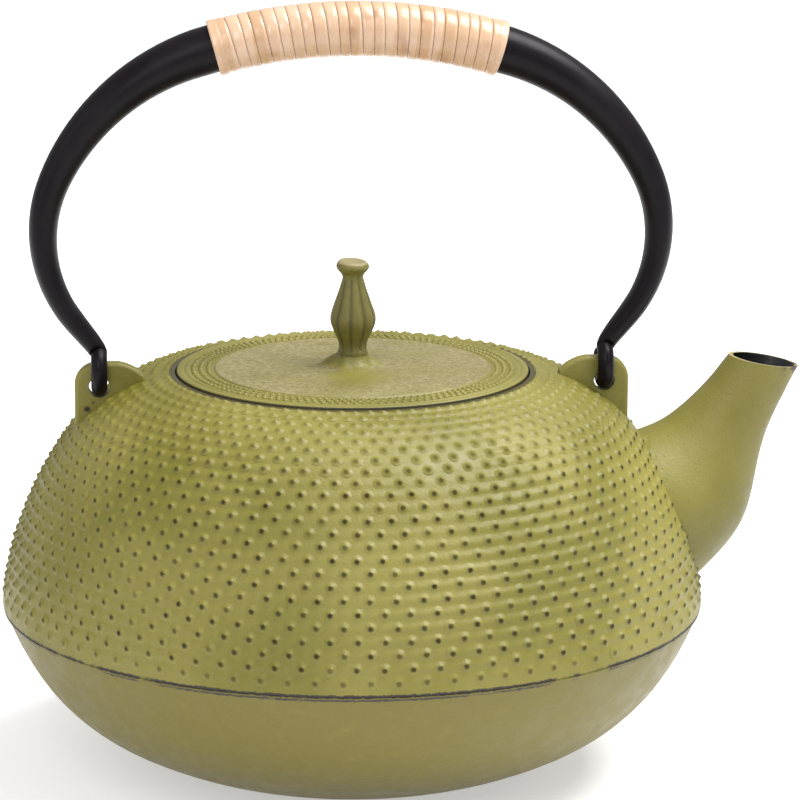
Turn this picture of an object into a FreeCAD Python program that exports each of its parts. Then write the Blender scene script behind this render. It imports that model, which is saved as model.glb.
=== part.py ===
"""Cast iron teapot: a dotted shell with a spout and two ears, a lid with its knob, a wrapped bail
and a strainer basket.

Millimetres. Origin on the pot's own axis where its base rests, +Z up, +X towards the spout.
"""
import FreeCAD, Part
import math
import os
import Sketcher

Vector = FreeCAD.Vector
Rotation = FreeCAD.Rotation
Placement = FreeCAD.Placement
UP = Vector(0, 0, 1)
ALONG_X = Vector(1, 0, 0)
ALONG_Y = Vector(0, 1, 0)

doc = FreeCAD.newDocument("teapot")

# ---------------------------------------------------------------- driving dimensions

DIMENSIONS = [
    # the cast body, outside: a bowl of three arcs, a lip, and a shell of two arcs
    ("base_radius", 30.0),
    ("bowl_top_radius", 95.2),
    ("bowl_top_height", 46.2),
    ("bowl_top_lean", 19.4),
    ("bowl_upper_arc", 75.7),
    ("bowl_upper_turn", 14.0),
    ("bowl_middle_arc", 54.4),
    ("bowl_middle_turn", 30.2),
    ("bowl_lower_arc", 100.0),
    ("lip_radius", 95.8),
    ("lip_height", 47.0),
    ("shell_lean", 7.1),
    ("shell_arc", 99.0),
    ("shell_turn", 29.2),
    ("shoulder_arc", 41.5),
    ("shoulder_turn", 46.0),
    ("wall", 3.0),
    ("floor_thickness", 4.0),
    # the mouth, with one ledge for the lid and a lower one for the basket
    ("mouth_radius", 48.25),
    ("lid_ledge_height", 107.9),
    ("basket_ledge_radius", 45.5),
    ("basket_ledge_height", 106.6),
    ("neck_radius", 42.4),
    ("neck_foot_height", 103.0),
    ("neck_ring_radius", 50.0),
    ("under_shoulder_radius", 54.5),
    ("under_shoulder_height", 105.2),
    ("passage_wall", 2.6),
    ("passage_lip", 1.1),
    ("passage_overrun", 3.0),
    ("passage_overrun_lean", 1.2),
    # the ears
    ("ear_reach", 75.4),
    ("ear_top", 113.2),
    ("ear_thickness", 4.2),
    ("ear_edge_round", 1.1),
    ("ear_corner_round", 6.2),
    ("ear_root_reach", 56.0),
    ("ear_root_height", 100.0),
    ("ear_foot_reach", 70.0),
    ("ear_foot_height", 92.0),
    ("ear_shoulder_reach", 63.5),
    ("ear_heel_reach", 56.5),
    ("ear_heel_height", 109.5),
    ("ear_slope_arc", 12.0),
    ("ear_hole_reach", 68.7),
    ("ear_hole_height", 106.6),
    ("ear_hole_radius", 2.85),
    # the lid
    ("lid_radius", 47.8),
    ("lid_top", 110.7),
    ("lid_thickness", 2.7),
    ("lid_crown", 111.3),
    ("lid_edge_round", 0.5),
    ("lid_dome_arc", 1100.0),
    ("knob_seat_radius", 11.0),
    ("skirt_radius", 39.8),
    ("skirt_wall", 2.4),
    ("skirt_foot", 102.2),
    ("stem_hole_radius", 2.2),
    # the knob, with its collar above the lid and its washer below
    ("collar_radius", 9.6),
    ("collar_edge", 1.3),
    ("collar_height", 2.3),
    ("collar_flare", 0.6),
    ("collar_arc", 9.0),
    ("knob_foot_radius", 4.5),
    ("knob_foot_arc", 4.2),
    ("knob_lower_arc", 12.5),
    ("knob_upper_arc", 24.0),
    ("knob_neck_arc", 1.7),
    ("knob_waist_radius", 3.45),
    ("knob_waist_height", 117.3),
    ("knob_belly_radius", 5.95),
    ("knob_belly_height", 124.8),
    ("knob_neck_radius", 2.75),
    ("knob_neck_height", 135.6),
    ("knob_cap_radius", 4.55),
    ("knob_cap_height", 140.9),
    ("knob_cap_depth", 3.4),
    ("knob_cap_undercut", 0.5),
    ("knob_cap_rim", 0.7),
    ("knob_dish_depth", 1.2),
    ("knob_dish_arc", 10.0),
    ("stem_radius", 2.05),
    ("washer_radius", 6.0),
    ("washer_thickness", 1.0),
    ("rivet_head_radius", 3.4),
    ("rivet_head_height", 1.2),
    ("rivet_head_slope", 1.0),
    # the bail: three tangent arcs each side, then a straight run into the tube end
    ("bail_top", 203.2),
    ("crown_arc", 140.5),
    ("crown_turn", 17.1),
    ("bend_arc", 62.5),
    ("bend_turn", 48.6),
    ("leg_arc", 37.4),
    ("leg_turn", 54.5),
    ("crown_width", 12.9),
    ("crown_depth", 13.0),
    ("knee_width", 8.6),
    ("knee_depth", 10.4),
    ("ankle_width", 6.3),
    ("ankle_depth", 10.8),
    ("tube_wall", 1.2),
    ("tube_end_height", 115.2),
    ("tube_end_reach", 69.9),
    # the hooks that hang the bail on the ears
    ("hinge_height", 111.2),
    ("hook_arc", 5.0),
    ("hook_rod_radius", 1.9),
    ("hook_root_angle", 130.0),
    ("hook_sweep", 245.0),
    ("hook_stub", 5.5),
    # the cane wound round the crown
    ("cane_width", 14.8),
    ("cane_half_turn", 16.3),
    ("cane_gap", 0.05),
    # the strainer basket
    ("flange_radius", 45.0),
    ("flange_height", 107.5),
    ("flange_thickness", 0.8),
    ("basket_radius", 41.6),
    ("basket_sheet", 0.5),
    ("rim_foot", 97.0),
    ("mesh_thickness", 0.4),
    ("mesh_top_gap", 1.5),
    ("basket_foot", 44.0),
    ("base_band_height", 9.0),
    ("base_lip_radius", 35.0),
]

dims = doc.addObject("Spreadsheet::Sheet", "dims")
for row, (alias, number) in enumerate(DIMENSIONS, start=1):
    dims.set(f"A{row}", alias)
    dims.set(f"B{row}", str(number))
    dims.setAlias(f"B{row}", alias)
doc.recompute()


def value(expression):
    """A number worked out from an expression in the sheet's aliases."""
    if isinstance(expression, (int, float)):
        return float(expression)
    return float(dims.evalExpression(expression))


def in_document(expression):
    """The same expression as other objects read it, with the sheet's name before each alias."""
    words = expression.replace("(", " ( ").replace(")", " ) ").split()
    aliases = {alias for alias, number in DIMENSIONS}
    return " ".join("dims." + word if word in aliases else word for word in words)


def bind(thing, **sizes):
    for size, expression in sizes.items():
        thing.setExpression(size, in_document(expression))


# ---------------------------------------------------------------- outlines and simple solids

def arc_edge(start, end, radius, turn):
    """The short arc between two points of a sketch; turn is +1 anticlockwise, -1 clockwise."""
    chord = end - start
    middle = (start + end) * 0.5
    across = Vector(-chord.y, chord.x, 0).normalize()
    rise = math.sqrt(radius ** 2 - (chord.Length / 2) ** 2)
    centre = middle + across * (rise * turn)
    first, last = (start, end) if turn > 0 else (end, start)
    angles = [math.atan2(point.y - centre.y, point.x - centre.x) for point in (first, last)]
    return Part.ArcOfCircle(Part.Circle(centre, UP, radius), angles[0], angles[1])


def outline(name, corners, arcs=None):
    """A closed sketch in the XZ plane.

    corners are (x, z) pairs, each a number or an expression; arcs gives, for the edge that leaves a
    corner, its radius and its turn. Every corner and radius is held by a constraint.
    """
    arcs = arcs or {}
    sketch = doc.addObject("Sketcher::SketchObject", name)
    points = [Vector(value(x), value(z), 0) for x, z in corners]
    starts = []
    for index, start in enumerate(points):
        end = points[(index + 1) % len(points)]
        if index in arcs:
            radius, turn = arcs[index]
            edge = sketch.addGeometry(arc_edge(start, end, value(radius), turn), False)
            starts.append((edge, 1 if turn > 0 else 2))
        else:
            edge = sketch.addGeometry(Part.LineSegment(start, end), False)
            starts.append((edge, 1))
    for index, (edge, start) in enumerate(starts):
        following, first = starts[(index + 1) % len(starts)]
        sketch.addConstraint(Sketcher.Constraint("Coincident", edge, 3 - start, following, first))
    for index, (edge, start) in enumerate(starts):
        for kind, size in zip(("DistanceX", "DistanceY"), corners[index]):
            held = sketch.addConstraint(Sketcher.Constraint(kind, -1, 1, edge, start, value(size)))
            if isinstance(size, str):
                sketch.setExpression(f"Constraints[{held}]", in_document(size))
        if index in arcs:
            radius = arcs[index][0]
            held = sketch.addConstraint(Sketcher.Constraint("Radius", edge, value(radius)))
            if isinstance(radius, str):
                sketch.setExpression(f"Constraints[{held}]", in_document(radius))
    sketch.Placement = Placement(Vector(0, 0, 0), Rotation(ALONG_X, 90))
    return sketch


def revolved(name, corners, arcs=None):
    solid = doc.addObject("Part::Revolution", name)
    solid.Source = outline(name + "_outline", corners, arcs)
    solid.Axis = UP
    solid.Angle = 360
    solid.Solid = True
    return solid


def joined(name, pieces):
    fuse = doc.addObject("Part::MultiFuse", name)
    fuse.Shapes = pieces
    return fuse


def without(name, base, tool):
    cut = doc.addObject("Part::Cut", name)
    cut.Base = base
    cut.Tool = tool
    return cut


def cylinder(name, radius, length, position, direction):
    rod = doc.addObject("Part::Cylinder", name)
    bind(rod, Radius=radius, Height=length)
    rod.Placement = Placement(position, Rotation(UP, direction))
    return rod


def tangent_chain(start, heading, arcs):
    """The corners and last heading of arcs that follow each other tangentially.

    arcs are (radius, turn in degrees), a positive turn going anticlockwise.
    """
    corners = [start]
    x, z = start
    for radius, turn in arcs:
        side = 1 if turn > 0 else -1
        here = math.radians(heading)
        heading += turn
        there = math.radians(heading)
        x += side * radius * (math.sin(there) - math.sin(here))
        z -= side * radius * (math.cos(there) - math.cos(here))
        corners.append((x, z))
    return corners, heading


# ---------------------------------------------------------------- the cast body

def shell_corners(inset):
    """The upper shell's corners, moved inwards by the wall's thickness for the inside."""
    lean = 90 + value("shell_lean")
    side = math.radians(lean + 90)
    start = (value("lip_radius") + inset * math.cos(side),
             value("lip_height") + inset * math.sin(side))
    arcs = [(value("shell_arc") - inset, value("shell_turn")),
            (value("shoulder_arc") - inset, value("shoulder_turn"))]
    return tangent_chain(start, lean, arcs)[0]


def bowl_corners(inset):
    """The bowl's corners from its top down to the edge of the base."""
    lean = -90 - value("bowl_top_lean")
    side = math.radians(lean - 90)
    start = (value("bowl_top_radius") + inset * math.cos(side),
             value("bowl_top_height") + inset * math.sin(side))
    arcs = [(value("bowl_upper_arc") - inset, -value("bowl_upper_turn")),
            (value("bowl_middle_arc") - inset, -value("bowl_middle_turn"))]
    return tangent_chain(start, lean, arcs)[0]


def make_body_outside():
    bowl = bowl_corners(0)
    shell = shell_corners(0)
    corners = [(0, 0), ("base_radius", 0), bowl[2], bowl[1], ("bowl_top_radius", "bowl_top_height"),
               ("lip_radius", "lip_height"), shell[1], shell[2],
               ("mouth_radius", shell[2][1]), (0, shell[2][1])]
    arcs = {1: ("bowl_lower_arc", 1), 2: ("bowl_middle_arc", 1), 3: ("bowl_upper_arc", 1),
            5: ("shell_arc", 1), 6: ("shoulder_arc", 1)}
    return revolved("body_outside", corners, arcs)


def make_cavity():
    wall = value("wall")
    bowl = bowl_corners(wall)
    shell = shell_corners(wall)
    above_mouth = value("lid_top") + wall
    corners = [(0, "floor_thickness"), ("base_radius", "floor_thickness"), bowl[2], bowl[1],
               shell[0], shell[1], ("under_shoulder_radius", "under_shoulder_height"),
               ("neck_ring_radius", "neck_foot_height"),
               ("neck_radius", "neck_foot_height"), ("neck_radius", "basket_ledge_height"),
               ("basket_ledge_radius", "basket_ledge_height"),
               ("basket_ledge_radius", "lid_ledge_height"), ("mouth_radius", "lid_ledge_height"),
               ("mouth_radius", above_mouth), (0, above_mouth)]
    arcs = {1: ("bowl_lower_arc - wall", 1), 2: ("bowl_middle_arc - wall", 1),
            3: ("bowl_upper_arc - wall", 1), 4: ("shell_arc - wall", 1),
            5: ("shoulder_arc - wall", 1)}
    return revolved("cavity", corners, arcs)


# The spout's sections, from its root inside the shell to its mouth: where the middle lies, half
# the section's length in the pot's plane, half its width across, and its tilt below the horizontal.
SPOUT_SECTIONS = [
    (73.0, 63.5, 21.5, 19.5, 56.0),
    (84.3, 71.4, 21.9, 19.6, 49.5),
    (92.0, 78.7, 19.8, 17.4, 38.8),
    (96.5, 84.5, 16.4, 14.2, 32.2),
    (100.4, 91.3, 13.1, 11.4, 25.5),
    (104.7, 98.4, 11.0, 9.6, 20.5),
    (109.2, 105.5, 10.1, 8.5, 13.5),
    (112.8, 111.3, 9.7, 8.0, 9.5),
]


def make_spout(name, inset=0.0, lip=0.0, overrun=0.0):
    """A loft through the spout's sections, drawn in by a wall for the passage inside it.

    The wall thins to the lip over the last two sections. The passage overruns the mouth a little,
    so that it leaves the casting cleanly.
    """
    sections = []
    for number, (x, z, half_length, half_width, tilt) in enumerate(SPOUT_SECTIONS):
        late = max(0, number + 3 - len(SPOUT_SECTIONS)) / 2
        drawn_in = inset + (lip - inset) * late
        section = doc.addObject("Part::Ellipse", f"{name}_section_{number}")
        section.MajorRadius = half_length - drawn_in
        section.MinorRadius = half_width - drawn_in
        section.Placement = Placement(Vector(x, 0, z), Rotation(ALONG_Y, tilt))
        sections.append(section)
    if overrun:
        last = sections[-1]
        beyond = doc.addObject("Part::Ellipse", f"{name}_section_beyond")
        beyond.MajorRadius = last.MajorRadius
        beyond.MinorRadius = last.MinorRadius
        beyond.Placement = last.Placement
        beyond.Placement.Base = last.Placement.multVec(
            Vector(value("passage_overrun_lean"), 0, overrun))
        sections.append(beyond)
    loft = doc.addObject("Part::Loft", name)
    loft.Sections = sections
    loft.Solid = True
    loft.Ruled = False
    return loft


def make_ear():
    corner = "ear_corner_round"
    corners = [("ear_root_reach", "ear_root_height"), ("ear_foot_reach", "ear_foot_height"),
               ("ear_reach", "ear_foot_height"), ("ear_reach", "ear_top - " + corner),
               ("ear_reach - " + corner, "ear_top"), ("ear_shoulder_reach", "ear_top"),
               ("ear_heel_reach", "ear_heel_height")]
    arcs = {3: (corner, 1), 5: ("ear_slope_arc", 1)}
    plate = doc.addObject("Part::Extrusion", "ear_plate")
    plate.Base = outline("ear_outline", corners, arcs)
    plate.DirMode = "Custom"
    plate.Dir = ALONG_Y
    plate.Symmetric = True
    plate.Solid = True
    bind(plate, LengthFwd="ear_thickness")
    doc.recompute()
    ear = doc.addObject("Part::Fillet", "ear")
    ear.Base = plate
    round_over = value("ear_edge_round")
    # only the edges that stand clear of the shell are rounded
    rims = []
    for number, edge in enumerate(plate.Shape.Edges, start=1):
        middle = edge.CenterOfMass
        on_a_face = abs(abs(middle.y) - value("ear_thickness") / 2) < 0.01
        above_root = middle.z > value("ear_root_height") and middle.x > value("ear_heel_reach + 1.5")
        if on_a_face and above_root:
            rims.append(number)
    ear.Edges = [(number, round_over, round_over) for number in rims]
    return ear


def make_kettle_body():
    ear = make_ear()
    other_ear = doc.addObject("Part::Mirroring", "other_ear")
    other_ear.Source = ear
    other_ear.Normal = ALONG_X
    outside = joined("casting", [make_body_outside(), make_spout("spout"), ear, other_ear])
    across = value("ear_thickness")
    bores = []
    for side in (-1, 1):
        start = Vector(side * value("ear_hole_reach"), -across, value("ear_hole_height"))
        bores.append(cylinder(f"ear_bore_{len(bores)}", "ear_hole_radius", "ear_thickness * 2",
                              start, ALONG_Y))
    passage = make_spout("passage", value("passage_wall"), value("passage_lip"),
                         value("passage_overrun"))
    hollow = joined("hollow", [make_cavity(), passage, *bores])
    return without("kettle_body", outside, hollow)


# ---------------------------------------------------------------- the lid and its knob

def make_lid_plate():
    under = "lid_top - lid_thickness"
    edge_top = "lid_top - lid_edge_round"
    corners = [("stem_hole_radius", under), ("skirt_radius - skirt_wall", under),
               ("skirt_radius - skirt_wall", "skirt_foot"), ("skirt_radius", "skirt_foot"),
               ("skirt_radius", under), ("lid_radius", under), ("lid_radius", edge_top),
               ("lid_radius - lid_edge_round", "lid_top"), ("knob_seat_radius", "lid_crown"),
               ("stem_hole_radius", "lid_crown")]
    arcs = {6: ("lid_edge_round", 1), 7: ("lid_dome_arc", 1)}
    return revolved("lid_plate", corners, arcs)


def make_lid_knob():
    foot = "lid_crown + collar_height"
    washer_under = "lid_top - lid_thickness - washer_thickness"
    cap_under = "knob_cap_height - knob_cap_depth"
    corners = [(0, washer_under + " - rivet_head_height"),
               ("rivet_head_radius - rivet_head_slope", washer_under + " - rivet_head_height"),
               ("rivet_head_radius", washer_under),
               ("stem_radius", washer_under),
               ("stem_radius", foot),
               ("knob_foot_radius", foot),
               ("knob_waist_radius", "knob_waist_height"),
               ("knob_belly_radius", "knob_belly_height"),
               ("knob_neck_radius", "knob_neck_height"),
               ("knob_cap_radius - knob_cap_undercut", cap_under),
               ("knob_cap_radius", "knob_cap_height"),
               ("knob_cap_radius - knob_cap_rim", "knob_cap_height"),
               (0, "knob_cap_height - knob_dish_depth")]
    arcs = {5: ("knob_foot_arc", -1), 6: ("knob_lower_arc", 1), 7: ("knob_upper_arc", 1),
            8: ("knob_neck_arc", -1), 11: ("knob_dish_arc", -1)}
    return revolved("lid_knob", corners, arcs)


def make_knob_collar():
    corners = [("stem_hole_radius", "lid_crown"), ("collar_radius", "lid_crown"),
               ("collar_radius", "lid_crown + collar_edge"),
               ("knob_foot_radius + collar_flare", "lid_crown + collar_height"),
               ("stem_hole_radius", "lid_crown + collar_height")]
    return revolved("knob_collar", corners, {2: ("collar_arc", 1)})


def make_knob_washer():
    top = "lid_top - lid_thickness"
    under = top + " - washer_thickness"
    corners = [("stem_hole_radius", under), ("washer_radius", under), ("washer_radius", top),
               ("stem_hole_radius", top)]
    return revolved("knob_washer", corners)


# ---------------------------------------------------------------- the bail and its hooks

CROWN_STEPS = 3
BEND_STEPS = 5
LEG_STEPS = 5
SOLID_STEPS = 3


def bail_stations():
    """Points down one side of the bail: x, z, heading below the horizontal, and how far along."""
    arcs = [(value("crown_arc"), value("crown_turn"), CROWN_STEPS),
            (value("bend_arc"), value("bend_turn"), BEND_STEPS),
            (value("leg_arc"), value("leg_turn"), LEG_STEPS)]
    stations = [(0.0, value("bail_top"), 0.0, 0.0)]
    for radius, turn, steps in arcs:
        for step in range(steps):
            x, z, heading, run = stations[-1]
            after = tangent_chain((x, z), -heading, [(radius, -turn / steps)])
            x, z = after[0][1]
            stations.append((x, z, heading + turn / steps, run + radius * math.radians(turn / steps)))
    return stations


TUBE_SIZES = ("crown", "knee", "ankle")


def tube_section(name, x, z, heading, shares, inset):
    """One oval of the bail, square to its line, blended from the widths named in TUBE_SIZES."""
    section = doc.addObject("Part::Ellipse", name)
    width = " + ".join(f"{size}_width * {share:.4f}" for size, share in zip(TUBE_SIZES, shares))
    depth = " + ".join(f"{size}_depth * {share:.4f}" for size, share in zip(TUBE_SIZES, shares))
    bind(section, MajorRadius=f"( {depth} ) / 2 - {inset}", MinorRadius=f"( {width} ) / 2 - {inset}")
    down = math.radians(heading)
    along = Vector(math.cos(down), 0, -math.sin(down))
    section.Placement = Placement(Vector(x, 0, z),
                                  Rotation(ALONG_Y, along.cross(ALONG_Y), along, "ZXY"))
    return section


def make_tube(name, inset):
    """The bail as one loft, from the left end over the crown to the right end.

    The bore inside it stops short of the ends, where the hooks are set in solid metal.
    """
    stations = bail_stations()
    crown_end = stations[CROWN_STEPS][3]
    leg_end = stations[-1][3]
    bend_middle = (stations[CROWN_STEPS + BEND_STEPS][3] - crown_end) / (leg_end - crown_end)
    half = []
    for x, z, heading, run in stations:
        share = max(0.0, (run - crown_end) / (leg_end - crown_end))
        if share < bend_middle:
            shares = (1 - share / bend_middle, share / bend_middle, 0.0)
        else:
            late = (share - bend_middle) / (1 - bend_middle)
            shares = (0.0, 1 - late, late)
        half.append((x, z, heading, shares))
    if inset:
        half = half[:-SOLID_STEPS]
    else:
        half.append((value("tube_end_reach"), value("tube_end_height"), 90.0, (0.0, 0.0, 1.0)))
    sections = []
    for side, run in ((-1, half[:0:-1]), (1, half)):
        for x, z, heading, shares in run:
            section = tube_section(f"{name}_section_{len(sections)}", side * x, z, side * heading,
                                   shares, inset)
            sections.append(section)
    loft = doc.addObject("Part::Loft", name)
    loft.Sections = sections
    loft.Solid = True
    loft.Ruled = False
    return loft


def make_hook(name, side):
    """A rod bent round the hinge line: down the front of the ear, through its hole, up behind."""
    reach = side * value("ear_hole_reach")
    centre = Vector(reach, 0, value("hinge_height"))
    root = math.radians(value("hook_root_angle"))
    tip = math.radians(value("hook_root_angle") + value("hook_sweep"))
    arc = value("hook_arc")

    bend = doc.addObject("Part::Torus", name + "_bend")
    bind(bend, Radius1="hook_arc", Radius2="hook_rod_radius", Angle3="hook_sweep")
    # the ring's own x axis is turned to the root, and its own z axis to the hinge line
    out = Vector(0, math.cos(root), math.sin(root))
    bend.Placement = Placement(centre, Rotation(out, ALONG_X.cross(out), ALONG_X, "ZXY"))

    end = doc.addObject("Part::Sphere", name + "_tip")
    bind(end, Radius="hook_rod_radius")
    end.Placement.Base = centre + Vector(0, arc * math.cos(tip), arc * math.sin(tip))

    into_tube = Vector(0, math.sin(root), -math.cos(root))
    stub = cylinder(name + "_stub", "hook_rod_radius", "hook_stub", centre + out * arc, into_tube)
    return joined(name, [bend, end, stub])


def make_bail():
    hooks = [make_hook("hook_left", -1), make_hook("hook_right", 1)]
    inside = joined("tube_inside", [make_tube("tube_bore", value("tube_wall")), *hooks])
    tube = without("bail_tube", make_tube("tube_outside", 0), inside)
    return [tube, *hooks]


def make_cane_binding():
    """A plain sleeve with the outside of the wound cane, on the round crown of the tube."""
    lean = math.radians(value("cane_half_turn"))
    out = Vector(-math.sin(lean), 0, math.cos(lean))
    crown_centre = Vector(0, 0, value("bail_top") - value("crown_arc"))
    rings = []
    for name, width in (("cane_outside", "cane_width"), ("cane_inside", "crown_depth + cane_gap * 2")):
        ring = doc.addObject("Part::Torus", name)
        bind(ring, Radius1="crown_arc", Radius2=f"( {width} ) / 2", Angle3="cane_half_turn * 2")
        ring.Placement = Placement(crown_centre, Rotation(out, ALONG_Y.cross(out), ALONG_Y, "ZXY"))
        rings.append(ring)
    return without("cane_binding", rings[0], rings[1])


# ---------------------------------------------------------------- the strainer basket

def make_basket():
    inner = "basket_radius - basket_sheet"
    flange_under = "flange_height - flange_thickness"
    rim = revolved("basket_rim", [
        (inner, "rim_foot"), ("basket_radius", "rim_foot"), ("basket_radius", flange_under),
        ("flange_radius", flange_under), ("flange_radius", "flange_height"),
        (inner, "flange_height")])
    mesh_inner = inner + " - mesh_thickness"
    wall = revolved("basket_wall", [
        (mesh_inner, "basket_foot + basket_sheet"), (inner, "basket_foot + basket_sheet"),
        (inner, "flange_height - mesh_top_gap"), (mesh_inner, "flange_height - mesh_top_gap")])
    band = revolved("basket_band", [
        ("base_lip_radius", "basket_foot"), ("basket_radius", "basket_foot"),
        ("basket_radius", "basket_foot + base_band_height"),
        (inner, "basket_foot + base_band_height"), (inner, "basket_foot + basket_sheet"),
        ("base_lip_radius", "basket_foot + basket_sheet")])
    floor = revolved("basket_floor", [
        (0, "basket_foot + basket_sheet"), (mesh_inner, "basket_foot + basket_sheet"),
        (mesh_inner, "basket_foot + basket_sheet + mesh_thickness"),
        (0, "basket_foot + basket_sheet + mesh_thickness")])
    return [rim, wall, band, floor]


# ---------------------------------------------------------------- build, check and write

pieces = [make_kettle_body(), make_lid_plate(), make_lid_knob(), make_knob_collar(),
          make_knob_washer(), *make_bail(), make_cane_binding(), *make_basket()]
for piece in pieces:
    piece.Label = piece.Name
doc.recompute()

for thing in doc.Objects:
    if "Invalid" in thing.State or "Error" in thing.State:
        raise RuntimeError(f"{thing.Name} failed to recompute: {thing.State}")
os.makedirs("parts", exist_ok=True)
for piece in pieces:
    shape = piece.Shape
    if shape.isNull() or not shape.isValid():
        raise RuntimeError(f"{piece.Label} has no valid shape")
    shape.exportStep(f"parts/{piece.Label}.step")
    box = shape.BoundBox
    print(f"{piece.Label}: {len(shape.Solids)} solid, {shape.Volume / 1000:.2f} cm3, "
          f"x {box.XMin:.1f}..{box.XMax:.1f}, y {box.YMin:.1f}..{box.YMax:.1f}, "
          f"z {box.ZMin:.1f}..{box.ZMax:.1f}")
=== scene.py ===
# %% [markdown]
# # A cast iron teapot
#
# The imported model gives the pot, the lid, the bail and the basket as fixed metal parts. This
# notebook adds what a mould, a paint gun and a cane worker add: the rows of dots on the shell,
# the beads on the lid, the ribs of the knob, the wound grip, and the finish of every surface.

# %% Load the frame
import math
import random

import bmesh
import bpy
import numpy as np
from mathutils import Matrix, Vector, noise
from mathutils.bvhtree import BVHTree


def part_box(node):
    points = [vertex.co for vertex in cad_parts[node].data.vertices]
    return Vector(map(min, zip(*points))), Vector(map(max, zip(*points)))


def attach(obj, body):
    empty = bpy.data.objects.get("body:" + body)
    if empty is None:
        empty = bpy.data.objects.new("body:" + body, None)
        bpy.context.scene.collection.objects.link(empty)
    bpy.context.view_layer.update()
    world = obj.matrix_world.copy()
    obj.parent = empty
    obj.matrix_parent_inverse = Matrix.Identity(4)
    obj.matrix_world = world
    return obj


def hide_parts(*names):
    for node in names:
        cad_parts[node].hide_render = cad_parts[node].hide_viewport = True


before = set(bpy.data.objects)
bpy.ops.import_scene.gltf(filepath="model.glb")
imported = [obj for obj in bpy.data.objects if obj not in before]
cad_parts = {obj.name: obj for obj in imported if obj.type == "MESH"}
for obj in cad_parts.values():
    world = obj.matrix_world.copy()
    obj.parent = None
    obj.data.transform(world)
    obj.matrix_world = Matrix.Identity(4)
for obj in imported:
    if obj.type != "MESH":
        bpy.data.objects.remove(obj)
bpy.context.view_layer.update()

MM = 0.001

# %% [markdown]
# ## Where the camera stands
#
# The pot is seen from a little over a metre away, about thirteen degrees above the table, with
# the pot turned a few degrees so that its left ear is nearer. A long lens keeps the ellipses of
# the lid and of the shell's edge almost the same shape. The camera could be placed by hand, but
# working it out from two angles and a distance keeps it easy to correct.

# %% Camera
CAMERA_RISE = math.radians(13.0)
CAMERA_TURN = math.radians(4.0)
CAMERA_ROLL = math.radians(0.2)
CAMERA_DISTANCE = 1089 * MM
LENS = 180.0
AIM_ASIDE = 12.9 * MM

axis_point = Vector((0, 0, 101.6 * MM))
outward = Vector((-math.sin(CAMERA_TURN) * math.cos(CAMERA_RISE),
                  -math.cos(CAMERA_TURN) * math.cos(CAMERA_RISE),
                  math.sin(CAMERA_RISE)))
rightward = Vector((0, 0, 1)).cross(outward).normalized()
camera_data = bpy.data.cameras.new("camera")
camera_data.lens = LENS
camera = bpy.data.objects.new("camera", camera_data)
bpy.context.scene.collection.objects.link(camera)
camera.location = axis_point + outward * CAMERA_DISTANCE
aim = axis_point + rightward * AIM_ASIDE
facing = (camera.location - aim).to_track_quat("Z", "Y")
camera.rotation_euler = (facing.to_matrix() @ Matrix.Rotation(CAMERA_ROLL, 3, "Z")).to_euler()
bpy.context.scene.camera = camera
print("camera at", [round(c, 3) for c in camera.location])

# %% [markdown]
# ## Helpers for pieces
#
# A bmesh is a mesh held in memory, and its operators do what the editor's tools do. Every piece
# below ends the same way: doubles merged, normals turned outwards, smooth shading, and a ride on
# the body that carries it. Two small functions keep that out of the way of the shapes.

# %% Piece helpers
def close_up(shape, merge_distance=0.002 * MM):
    bmesh.ops.remove_doubles(shape, verts=shape.verts, dist=merge_distance)
    bmesh.ops.recalc_face_normals(shape, faces=shape.faces)


def finish_piece(shape, name, body, material, replaces=(), smooth=True):
    mesh = bpy.data.meshes.new(name)
    shape.to_mesh(mesh)
    shape.free()
    for polygon in mesh.polygons:
        polygon.use_smooth = smooth
    mesh.materials.append(material)
    piece = bpy.data.objects.new(name, mesh)
    bpy.context.scene.collection.objects.link(piece)
    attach(piece, body)
    if replaces:
        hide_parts(*replaces)
    print(name, "has", len(mesh.polygons), "faces")
    return piece


def set_copies(pattern, frames):
    """One bmesh with a copy of the pattern at each matrix, and each copy's corners."""
    shape = bmesh.new()
    copies = []
    for place in frames:
        shape.from_mesh(pattern)
        shape.verts.ensure_lookup_table()
        corners = shape.verts[-len(pattern.vertices):]
        for corner in corners:
            corner.co = place @ corner.co
        copies.append(corners)
    return shape, copies


def spun(points, steps):
    """A turned shape: an open profile of (radius, height) spun a full turn about the pot's axis."""
    shape = bmesh.new()
    corners = [shape.verts.new((radius, 0, height)) for radius, height in points]
    edges = [shape.edges.new(pair) for pair in zip(corners, corners[1:])]
    bmesh.ops.spin(shape, geom=corners + edges, cent=(0, 0, 0), axis=(0, 0, 1),
                   angle=math.tau, steps=steps, use_merge=True)
    close_up(shape)
    return shape


# %% [markdown]
# ## Helpers for finishes
#
# A finish here is a small network of nodes. Each part of it is added with one call that sets the
# node's own settings and joins or fills its sockets, so a finish reads from top to bottom like a
# recipe. All patterns are read in Object coordinates, which here are metres on the real pot.

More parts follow.
